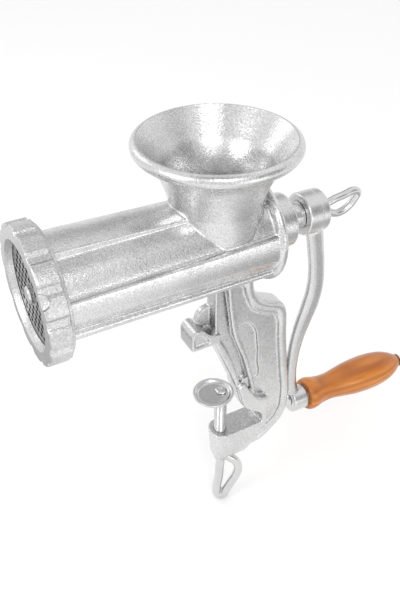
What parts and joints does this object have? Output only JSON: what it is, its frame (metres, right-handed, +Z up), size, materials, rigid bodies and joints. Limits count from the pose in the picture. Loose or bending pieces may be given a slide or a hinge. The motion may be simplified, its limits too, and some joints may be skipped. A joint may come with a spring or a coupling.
{
  "type": "meat grinder",
  "caption": "Hand-cranked cast meat grinder with a round hopper, a hole plate behind a lobed ring nut, a wooden handle and a screw clamp for a table edge.",
  "frame": {"origin": "middle of the upper jaw's underside, which rests on the table's top", "axes": "+X along the barrel from the ring nut to the crank, +Z up, +Y to the far side"},
  "size_m": [0.3099, 0.1016, 0.3269],
  "materials": {
    "tinned_iron": "bright tinned, lightly sandy",
    "bright_steel": "bright plated",
    "bearing_bronze": "plain bearing metal",
    "washer_fibre": "matt fibre",
    "varnished_beech": "glossy varnish"
  },
  "bodies": {
    "casting": {"body_casting": "tinned_iron", "rear_bearing_bush": "bearing_bronze", "plate_locating_pin": "bright_steel"},
    "rotor": {"feed_screw": "tinned_iron", "thrust_washer": "washer_fibre", "knife_stud": "bright_steel", "cross_knife": "bright_steel"},
    "crank": {"crank_arm": "tinned_iron", "handle_spindle": "bright_steel", "handle_washer": "bright_steel", "handle_end_washer": "bright_steel"},
    "thumb_screw": {"crank_thumb_screw": "bright_steel"},
    "handle": {"wooden_handle": "varnished_beech"},
    "plate": {"hole_plate": "bright_steel"},
    "ring": {"ring_nut": "tinned_iron"},
    "disc": {"clamp_disc": "bright_steel"},
    "screw": {"clamp_screw": "bright_steel"}
  },
  "joints": [
    {"name": "crank_turn", "type": "hinge", "parent": "casting", "child": "rotor", "pos_m": [0.0125, 0, 0.079], "axis": [1, 0, 0], "continuous": true},
    {"name": "crank_slide", "type": "slide", "parent": "rotor", "child": "crank", "axis": [1, 0, 0], "range_m": [0, 0.01]},
    {"name": "thumb_turn", "type": "hinge", "parent": "crank", "child": "thumb_screw", "pos_m": [0.0921, 0, 0.079], "axis": [1, 0, 0], "range_deg": [0, 2880]},
    {"name": "handle_spin", "type": "hinge", "parent": "crank", "child": "handle", "pos_m": [0.0887, 0, -0.0955], "axis": [0.9991, 0, -0.0419], "continuous": true},
    {"name": "plate_slide", "type": "slide", "parent": "casting", "child": "plate", "axis": [-1, 0, 0], "range_m": [0, 0.009]},
    {"name": "ring_turn", "type": "hinge", "parent": "plate", "child": "ring", "pos_m": [-0.1121, 0, 0.079], "axis": [-1, 0, 0], "range_deg": [0, 1080]},
    {"name": "disc_slide", "type": "slide", "parent": "casting", "child": "disc", "axis": [0, 0, -1], "range_m": [0, 0.032]},
    {"name": "clamp_turn", "type": "hinge", "parent": "disc", "child": "screw", "pos_m": [0.0188, 0, -0.0945], "axis": [0, 0, -1], "range_deg": [0, 7680]}
  ],
  "couplings": [
    {"joint": "thumb_turn", "follows": "crank_slide", "rad_per_m": 5026.5},
    {"joint": "ring_turn", "follows": "plate_slide", "rad_per_m": 2094.3},
    {"joint": "clamp_turn", "follows": "disc_slide", "rad_per_m": 4188.7}
  ]
}
